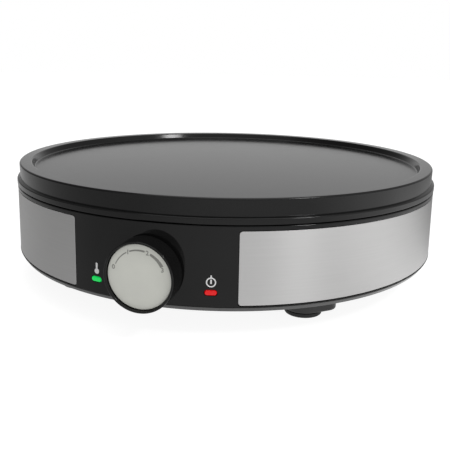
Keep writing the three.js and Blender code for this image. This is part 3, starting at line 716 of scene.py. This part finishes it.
def build_base():
    """The bottom cover: bevelled tray with an inner lip, posts, screw holes and cooling slots."""
    lip_outer_r, lip_inner_r, lip_z = WALL_INNER_R - 0.4, WALL_INNER_R - 3.4, 24.6
    profile = rounded(
        [
            (0, BASE_UNDER_Z),
            (BASE_R - 2.1, BASE_UNDER_Z, 0.6),
            (BASE_R, BASE_EDGE_Z, 0.3),
            (lip_outer_r, BASE_EDGE_Z, 0.1),
            (lip_outer_r, lip_z, 0.3),
            (lip_inner_r, lip_z, 0.3),
            (lip_inner_r, BASE_FLOOR_TOP_Z, 0.5),
            (0, BASE_FLOOR_TOP_Z),
        ]
    )
    tray = lathe(profile, ROUND, about_body())
    floor, through, under = BASE_FLOOR_TOP_Z - 1, BASE_FLOOR_TOP_Z + 1, BASE_UNDER_Z - 1
    post_r, seat_r, seat_hole_r, foot_hole_r = 6.5, 4.2, 1.6, 1.9
    seats = [Matrix.Translation((x, y + AXIS_Y, 0)) for x, y in SEATS]
    raised = [bar(post_r, floor, SHIELD_Z - 0.3, standing(a, POST_R), 32) for a in POST_AZIMUTHS]
    raised += [bar(seat_r, floor, SEAT_TOP_Z, seat) for seat in seats]
    tray = boolean(tray, raised, "UNION")
    cutters = [bar(seat_hole_r, BASE_FLOOR_TOP_Z - 0.7, SEAT_TOP_Z + 1, seat) for seat in seats]
    for azimuth in POST_AZIMUTHS:
        place = standing(azimuth, POST_R)
        cutters.append(counterbored(4.6, POST_SCREW_Z + 3, 2.6, SHIELD_Z + 1, 1.4, 40, place))
    for azimuth in BOSS_AZIMUTHS:
        place = standing(azimuth, BOSS_R)
        cutters.append(counterbored(3.5, BASE_UNDER_Z + 1.4, 1.9, through, 1.4, 32, place))
    for _, azimuth, turn in FEET:
        hole = standing(azimuth, FOOT_R) @ Matrix.Translation((turn * FOOT_SCREW_X, 0, 0))
        cutters.append(bar(foot_hole_r, under, through, hole))
    slot_length, slot_width, slot_count, slot_r = 26, 3, 12, 74
    slot = [
        at_height(pill(slot_length, slot_width, 1.3, 8), under),
        at_height(pill(slot_length, slot_width, 0, 8), BASE_UNDER_Z + 0.35),
        at_height(pill(slot_length, slot_width, 0, 8), through),
    ]
    quarter = Matrix.Rotation(math.pi / 2, 4, "Z")
    for k in range(slot_count):
        cutters.append(prism(slot, standing(360 * k / slot_count, slot_r) @ quarter))
    tray = boolean(tray, cutters, "DIFFERENCE")
    make("base_tray", tray, BASE, nodes=["base_cover"], sharp_angle=50)


def foot_outline(turn, shrink):
    """The foot's footprint, drawn in from its edge by a margin."""
    end_r, corner, length = 13.3, 8.0, 34.5
    reach = length - end_r - corner
    side = end_r - corner
    r = corner - shrink
    points = arc(0, 0, end_r - shrink, 90, 270, 32)
    points += arc(reach, -side, r, -90, 0, 12) + arc(reach, side, r, 0, 90, 12)
    return points if turn > 0 else [(-x, y) for x, y in reversed(points)]


def foot_block(turn, place):
    """One foot: rounded below, with a socket for the pad's plug and a hole for its screw."""
    under, top, fillet = 3.2, BASE_UNDER_Z - 0.2, 1.6
    socket_r, socket_top, screw_r, screw_low = 4.3, 8, 1.7, 9
    loops = []
    for degrees in range(0, 91, 15):
        a = math.radians(degrees)
        inset, rise = fillet - fillet * math.sin(a), fillet - fillet * math.cos(a)
        loops.append(at_height(foot_outline(turn, inset), under + rise))
    for inset, z in ((-0.15, top - 2.0), (-0.15, top - 0.2), (0.05, top)):
        loops.append(at_height(foot_outline(turn, inset), z))
    beside = place @ Matrix.Translation((turn * FOOT_SCREW_X, 0, 0))
    cutters = [
        bar(socket_r, under - 1, socket_top, place, 32),
        bar(screw_r, screw_low, top + 1, beside, 20),
    ]
    return boolean(prism(loops, place), cutters, "DIFFERENCE")


def foot_pad(place):
    """A rubber pad with three gripping rings below and a plug above."""
    pad_r, pad_z, plug_r = 12.6, 3.0, 4.0
    profile = [(0, 0.5), (2.6, 0.5)]
    for ring in (3.4, 6.0, 8.6):
        profile += [(ring - 0.4, 0.0), (ring + 1.0, 0.0), (ring + 1.4, 0.5), (ring + 1.8, 0.5)]
    profile += rounded(
        [
            (11.0, 0.0),
            (11.2, 0.0),
            (pad_r, 0.0, 1.3),
            (pad_r, pad_z, 0.3),
            (plug_r, pad_z),
            (plug_r, 6.6, 0.4),
            (0, 7.0),
        ]
    )
    return lathe(profile, 64, place)


def build_feet():
    for name, azimuth, turn in FEET:
        place = standing(azimuth, FOOT_R)
        foot, nodes = foot_block(turn, place), [f"foot_{name}"]
        make(f"foot_block_{name}", foot, FOOT, nodes=nodes, sharp_angle=50)
        pad, nodes = foot_pad(place), [f"foot_pad_{name}"]
        make(f"rubber_pad_{name}", pad, RUBBER, nodes=nodes, sharp_angle=50)


def screw(head_r, head_h, shank_r, length, cross_reach, place):
    """A cross-recessed screw with its head down, and rings for its thread."""
    pitch, cross_half_width, cross_depth = 0.8, 0.42, 1.0
    profile = [(0, 0), (head_r * 0.75, 0.0), (head_r, 0.35), (head_r, head_h), (shank_r, head_h)]
    z = head_h + 1.0
    while z < head_h + length - shank_r - pitch:
        profile += [(shank_r * 0.86, z), (shank_r, z + pitch / 2)]
        z += pitch
    profile += [(shank_r * 0.8, head_h + length - shank_r), (0, head_h + length)]
    turned = lathe(profile, 28, UPRIGHT)
    arms = []
    for x, y in ((cross_reach, cross_half_width), (cross_half_width, cross_reach)):
        arms.append(block((-x, -y, -1), (x, y, cross_depth), UPRIGHT))
    cross = boolean(arms[0], [arms[1]], "UNION")
    turned = boolean(turned, [cross], "DIFFERENCE")
    bmesh.ops.transform(turned, matrix=place, verts=turned.verts)
    return turned


def build_screws():
    """The screws seen from below: six in the base cover and four deep ones up to the plate."""
    for i, azimuth in enumerate(BOSS_AZIMUTHS, 1):
        place = standing(azimuth, BOSS_R) @ Matrix.Translation((0, 0, BASE_UNDER_Z + 0.1))
        bm = screw(3.1, 1.2, 1.5, 18, 1.8, place)
        make(f"base_fixing_{i}", bm, ZINC, nodes=[f"base_screw_{i}"])
    for i, azimuth in enumerate(POST_AZIMUTHS, 1):
        place = standing(azimuth, POST_R) @ Matrix.Translation((0, 0, POST_SCREW_Z))
        bm = screw(4.2, 2.4, 2.0, 50, 2.4, place)
        make(f"plate_fixing_{i}", bm, ZINC, nodes=[f"plate_screw_{i}"])


# ---- Dial ----


def build_dial():
    """The knob's cup with its hub, the face set into it, and the fixed collar on the wall."""
    front_r, back_r, shell = 21.8, 22.1, 2.4
    hub, bore = 6.0, 3.3
    seat = FACE_FRONT - 1.5
    profile = rounded(
        [
            (0, seat - 1.2),
            (bore, seat - 1.2),
            (bore, DIAL_BACK + 0.4, 0.3),
            (hub, DIAL_BACK + 0.4, 0.3),
            (hub, seat - 2, 0.6),
            (front_r - shell, seat - 2, 0.6),
            (front_r - shell, DIAL_BACK, 0.3),
            (back_r, DIAL_BACK, 0.9),
            (front_r, DIAL_FRONT, 0.55),
            (FACE_R + 0.3, DIAL_FRONT, 0.45),
            (FACE_R + 0.3, seat),
            (0, seat),
        ],
        6,
    )
    cup = lathe(profile, 160, outward(0, DIAL_Z))
    # Fills one side of the bore, to fit the flat on the spindle.
    key = block((-bore, 2.2, DIAL_BACK + 2), (bore, bore + 0.5, seat - 1.0), outward(0, DIAL_Z))
    cup = boolean(cup, [key], "UNION")
    make("dial_cup", cup, BLACK, "dial", ["dial_knob"], 50)
    profile = rounded(
        [
            (0, seat + 0.3),
            (FACE_R, seat + 0.3, 0.1),
            (FACE_R, FACE_FRONT, 0.45),
            (0, FACE_FRONT),
        ],
        6,
    )
    disc = lathe(profile, 160, outward(0, DIAL_Z))
    make("dial_disc", disc, FACE, "dial", ["dial_face"], 50)
    hole_r, collar_r, inside, outside, gap = 5, 19.5, 161, 166.3, 0.3
    collar = rounded(
        [(hole_r, inside), (collar_r, inside), (collar_r, outside, 0.4), (hole_r, outside, 0.2)], 4
    )
    bezel = lathe(collar, 96, outward(0, DIAL_Z), closed=True)
    # The collar's back follows the wall.
    core_points = [(0, WALL_BOTTOM_Z), (wall_r(WALL_BOTTOM_Z) + gap, WALL_BOTTOM_Z)]
    core_points += [(wall_r(WALL_TOP_Z) + gap, WALL_TOP_Z), (0, WALL_TOP_Z)]
    core = lathe(core_points, ROUND, about_body())
    bezel = boolean(bezel, [core], "DIFFERENCE")
    make("dial_collar", bezel, BLACK, nodes=["dial_bezel"], sharp_angle=50)


PRINT_LIFT = (0.004, 0.03)  # a print's back and front over the surface that it lies on


def dial_mark(outline):
    """A thin printed shape on the dial's face, from (x, y) points seen from the front."""
    loops = [at_height(outline, FACE_FRONT + lift) for lift in PRINT_LIFT]
    return prism(loops, outward(0, DIAL_Z))


def dial_arc(start, end, r, low_width, high_width, steps=24):
    """A tapered arc band on the dial, between two angles clockwise from the top."""
    outer, inner = [], []
    for k in range(steps + 1):
        share = k / steps
        a = math.radians(start + (end - start) * share)
        half = (low_width + (high_width - low_width) * share) / 2
        outer.append(((r + half) * math.sin(a), (r + half) * math.cos(a)))
        inner.append(((r - half) * math.sin(a), (r - half) * math.cos(a)))
    return outer + inner[::-1]


def dial_digit(text, angle, r, size):
    """A generic number on the dial, upright as seen from the front."""
    curve = bpy.data.curves.new("digit", "FONT")
    curve.body = text
    curve.size = size
    curve.align_x = "CENTER"
    curve.align_y = "CENTER"
    curve.extrude = 0.013
    curve.offset = 0.1
    obj = bpy.data.objects.new("digit", curve)
    bpy.context.scene.collection.objects.link(obj)
    bpy.context.view_layer.update()
    evaluated = obj.evaluated_get(bpy.context.evaluated_depsgraph_get())
    bm = bmesh.new()
    bm.from_mesh(evaluated.to_mesh())
    evaluated.to_mesh_clear()
    bpy.data.objects.remove(obj)
    bpy.data.curves.remove(curve)
    a = math.radians(angle)
    spot = Matrix.Translation((r * math.sin(a), r * math.cos(a), FACE_FRONT + 0.017))
    bmesh.ops.transform(bm, matrix=outward(0, DIAL_Z) @ spot, verts=bm.verts)
    return bm


def build_dial_print():
    """A band that widens with the heat, broken by the numbers 0 to 3."""
    r, digit_size = 16.2, 3.8
    bands = [
        dial_mark(dial_arc(-66, -28.5, r, 0.5, 0.75)),
        dial_mark(dial_arc(-21.5, 13, r, 0.85, 1.2)),
        dial_mark(dial_arc(25.5, 61.5, r - 0.2, 1.5, 2.1)),
    ]
    places = (("0", -73.9, 16.8), ("1", -25.3, 16.0), ("2", 19.2, 15.9), ("3", 68.2, 15.5))
    digits = [dial_digit(text, angle, distance, digit_size) for text, angle, distance in places]
    make("dial_scale", merged(bands + digits), DIAL_PRINT, "dial", sharp_angle=30)


# ---- Icons, lamps and gland ----


def wall_print(name, outlines):
    """Thin printed shapes that follow the wall: outlines are (distance round, height) points."""
    parts = []
    for outline in outlines:
        loops = []
        for lift in PRINT_LIFT:
            loop = []
            for s, z in outline:
                loop.append(polar(math.degrees(s / wall_r(z)), wall_r(z) + lift, z))
            loops.append(loop)
        parts.append(prism(loops, UPRIGHT))
    make(name, merged(parts), ICON_PRINT, sharp_angle=30)


def build_icons():
    """A thermometer over the green lamp, and the common power symbol over the red one."""
    s, low, high = -36.5, 34.3, 41.6
    stem, bulb = 0.78, 1.75
    thermometer = arc(s, low + bulb, bulb, -250, 70, 28) + arc(s, high - stem, stem, 0, 180, 10)
    wall_print("icon_thermometer", [thermometer])
    s, z = 38.35, 37.3
    outer, inner, half, tip_half = 3.05, 2.3, 0.48, 0.3
    halves = []
    for start, end in ((90, 270), (-90, 90)):
        halves.append(arc(s, z, outer, start, end, 28) + arc(s, z, inner, end, start, 28))
    stroke = [(s - half, z - 0.9), (s + half, z - 0.9)]
    stroke += [(s + half, z + 1.75), (s - half, z + 1.75)]
    tip = [(s - half, z + 3.07), (s + half, z + 3.07)]
    tip += [(s + tip_half, z + 4.4), (s - tip_half, z + 4.4)]
    wall_print("icon_power", halves + [stroke, tip])


def build_lamps():
    """The two lenses, slightly domed: each dome step is a margin and a height over the wall."""
    wall = wall_r(LAMP_Z)
    dome = [(0.0, -0.45), (-0.06, -0.15), (-0.22, 0.08), (-0.5, 0.22), (-0.9, 0.30), (-1.3, 0.33)]
    for name, material in (("green", GREEN), ("red", RED)):
        loops = [at_height(pill(*LAMP_SIZE, 0.0), WALL_INNER_R - 4)]
        loops += [at_height(pill(*LAMP_SIZE, grow), wall + out) for grow, out in dome]
        lens = prism(loops, outward(LAMP_AZIMUTH[name], LAMP_Z))
        nodes, slot = [f"lamp_lens_{name}"], f"{name}_lens"
        make(f"lamp_{name}", lens, material, nodes=nodes, sharp_angle=60)


def build_gland():
    """The cord's inlet in the rear wall: a hollow bush with a nut inside and a flange outside."""
    wall = wall_r(GLAND_Z)
    bore_r, nut_r, neck_r, flange_r = 3.6, 7.4, 5.6, 8.4
    inner_end, outer_end = 156.5, 169.2
    profile = rounded(
        [
            (bore_r, inner_end + 1.5),
            (bore_r, inner_end, 0.2),
            (nut_r, inner_end, 0.3),
            (nut_r, WALL_INNER_R - 0.6, 0.2),
            (neck_r, WALL_INNER_R - 0.6, 0.2),
            (neck_r, wall + 0.3, 0.1),
            (flange_r, wall + 0.3, 0.15),
            (flange_r, wall + 1.8, 0.5),
            (7.1, wall + 2.1, 0.3),
            (6.6, outer_end, 0.6),
            (bore_r, outer_end, 0.5),
            (bore_r, 167),
        ]
    )
    gland = lathe(profile, 64, outward(180, GLAND_Z), closed=True)
    nodes = ["cord_gland"]
    make("cord_inlet_gland", gland, FOOT, nodes=nodes, sharp_angle=50)


build_plate()
build_housing()
build_panels()
build_base()
build_feet()
build_screws()
build_dial()
build_dial_print()
build_icons()
build_lamps()
build_gland()

# ---- Floor, light and camera ----

# What the object mirrors: brightness by azimuth, in degrees, with 0 in front of the dial,
# 90 on its right, 180 behind, and -90 and 270 both on its left.
WALLS = (
    (-90, 0.17), (-49, 0.29), (-33, 0.69), (0, 0.76), (60, 0.84), (95, 0.88), (125, 0.5),
    (150, 0.36), (168, 0.42), (180, 0.74), (213, 0.72), (229, 0.29), (270, 0.17),
)
FLOOR_GLOW = (
    (-90, 0.40), (-58, 0.38), (-20, 0.46), (0, 0.68), (20, 0.76), (51, 0.74), (78, 1.30),
    (102, 1.08), (120, 0.48), (142, 0.10), (163, 0.06), (200, 0.08), (225, 0.24), (270, 0.40),
)
FLOOR_SHOWN = 0.90  # the even brightness of the floor as the camera sees it
FLOOR_R = 6000
FLOOR_Z = -0.15  # just under the feet
# Brightness of the walls by the sine of the elevation: the plate mirrors 0.1 to 0.25.
SKY = ((-1, 0.83), (0.10, 1.0), (0.17, 0.83), (0.24, 0.94), (0.5, 1.0), (1, 1.0))


def ramp(nodes, links, value, stops):
    """A brightness that follows a value from 0 to 1, as a smooth ramp through the stops."""
    node = nodes.new("ShaderNodeValToRGB")
    links.new(value, node.inputs[0])
    elements = node.color_ramp.elements
    for count, (position, level) in enumerate(stops):
        stop = elements[count] if count < 2 else elements.new(1.0)
        stop.position = position
        stop.color = (level, level, level, 1)
    return node.outputs[0]


def surround(nodes, links, vector, levels):
    """Brightness by the azimuth of a vector, from its (azimuth, brightness) levels."""
    parts = nodes.new("ShaderNodeSeparateXYZ")
    links.new(vector, parts.inputs[0])
    angle = nodes.new("ShaderNodeMath")
    angle.operation = "ARCTAN2"
    links.new(parts.outputs["Y"], angle.inputs[0])
    links.new(parts.outputs["X"], angle.inputs[1])
    spread = nodes.new("ShaderNodeMapRange")
    links.new(angle.outputs[0], spread.inputs["Value"])
    spread.inputs["From Min"].default_value = -math.pi
    spread.inputs["From Max"].default_value = math.pi
    stops = [((azimuth + 90) / 360, level) for azimuth, level in levels]
    return ramp(nodes, links, spread.outputs[0], stops)


def build_floor():
    """A pale round floor, which the camera sees evenly lit."""
    bm = bmesh.new()
    place = Matrix.Translation((0, 0, FLOOR_Z))
    bmesh.ops.create_circle(bm, cap_ends=True, segments=96, radius=FLOOR_R, matrix=place)
    bmesh.ops.scale(bm, vec=(MM, MM, MM), verts=bm.verts)
    mesh = bpy.data.meshes.new("floor")
    bm.to_mesh(mesh)
    bm.free()
    t = Tree("pale_floor")
    t.plug("Base Color", t.mix(t.remap(t.noise(8), 0, 1), grey(0.23), grey(0.25)))
    t.plug("Roughness", t.remap(t.noise(30), 0.75, 0.85))
    glow = surround(t.nodes, t.links, t.coordinates, FLOOR_GLOW)
    seen = t.node("LightPath").outputs["Is Camera Ray"]
    shown = t.node("MapRange", {"Value": seen, "To Min": glow, "To Max": FLOOR_SHOWN})
    t.plug("Emission Strength", shown.outputs[0])
    t.set(Specular_IOR_Level=0.1, Emission_Color=(1, 1, 1, 1))
    mesh.materials.append(t.material)
    floor = bpy.data.objects.new("floor", mesh)
    bpy.context.scene.collection.objects.link(floor)


def area_light(name, azimuth, elevation, distance, size, energy, target):
    """A rectangular light facing a target, with its distance and size in metres."""
    light = bpy.data.lights.new(name, "AREA")
    light.shape = "RECTANGLE"
    light.size, light.size_y = size
    light.energy = energy
    obj = bpy.data.objects.new(name, light)
    a, e = math.radians(azimuth), math.radians(elevation)
    back = Vector((math.sin(a) * math.cos(e), -math.cos(a) * math.cos(e), math.sin(e)))
    obj.location = target + back * distance
    obj.rotation_mode = "QUATERNION"
    obj.rotation_quaternion = (-back).to_track_quat("-Z", "Y")
    bpy.context.scene.collection.objects.link(obj)


def build_light():
    """A surround that the object mirrors and the camera sees as white, and two lights."""
    world = bpy.data.worlds.new("studio")
    bpy.context.scene.world = world
    world.use_nodes = True
    nodes, links = world.node_tree.nodes, world.node_tree.links
    direction = nodes.new("ShaderNodeTexCoord").outputs["Generated"]
    parts = nodes.new("ShaderNodeSeparateXYZ")
    links.new(direction, parts.inputs[0])
    spread = nodes.new("ShaderNodeMapRange")
    links.new(parts.outputs["Z"], spread.inputs["Value"])
    spread.inputs["From Min"].default_value = -1.0
    stops = [((height + 1) / 2, level) for height, level in SKY]
    sky = ramp(nodes, links, spread.outputs[0], stops)
    walls = surround(nodes, links, direction, WALLS)
    studio = nodes["Background"]
    studio.inputs["Color"].default_value = (1, 1, 1, 1)
    product = nodes.new("ShaderNodeMath")
    product.operation = "MULTIPLY"
    links.new(sky, product.inputs[0])
    links.new(walls, product.inputs[1])
    links.new(product.outputs[0], studio.inputs["Strength"])
    backdrop = nodes.new("ShaderNodeBackground")
    backdrop.inputs["Color"].default_value = (1, 1, 1, 1)
    seen = nodes.new("ShaderNodeMixShader")
    links.new(nodes.new("ShaderNodeLightPath").outputs["Is Camera Ray"], seen.inputs[0])
    links.new(studio.outputs[0], seen.inputs[1])
    links.new(backdrop.outputs[0], seen.inputs[2])
    links.new(seen.outputs[0], nodes["World Output"].inputs[0])
    middle = Vector((0, AXIS_Y * MM, 0.06))
    area_light("key_right", 63, 43, 1.6, (0.26, 0.2), 6, middle)
    area_light("top", 0, 88, 1.7, (1.6, 1.6), 10, middle)


def build_camera():
    """A view from 15.9 degrees right of the dial and 15 degrees above the table."""
    azimuth, elevation, roll = (math.radians(v) for v in (15.9, 15.07, 1.04))
    distance, lens = 0.526, 49.36
    target = Vector((0, AXIS_Y * MM, 0.028))
    level = math.cos(elevation)
    back = Vector((math.sin(azimuth) * level, -math.cos(azimuth) * level, math.sin(elevation)))
    right = Vector((math.cos(azimuth), math.sin(azimuth), 0))
    up = back.cross(right)
    tilted_right = math.cos(roll) * right + math.sin(roll) * up
    tilted_up = -math.sin(roll) * right + math.cos(roll) * up
    rotation = Matrix((tilted_right, tilted_up, back)).transposed()
    data = bpy.data.cameras.new("camera")
    data.sensor_width = 36
    data.lens = lens
    data.clip_start = 0.01
    data.clip_end = 50
    camera = bpy.data.objects.new("camera", data)
    camera.location = target + back * distance
    camera.rotation_mode = "QUATERNION"
    camera.rotation_quaternion = rotation.to_quaternion()
    bpy.context.scene.collection.objects.link(camera)
    bpy.context.scene.camera = camera


build_floor()
build_light()
build_camera()
bpy.context.scene.view_settings.view_transform = "Standard"
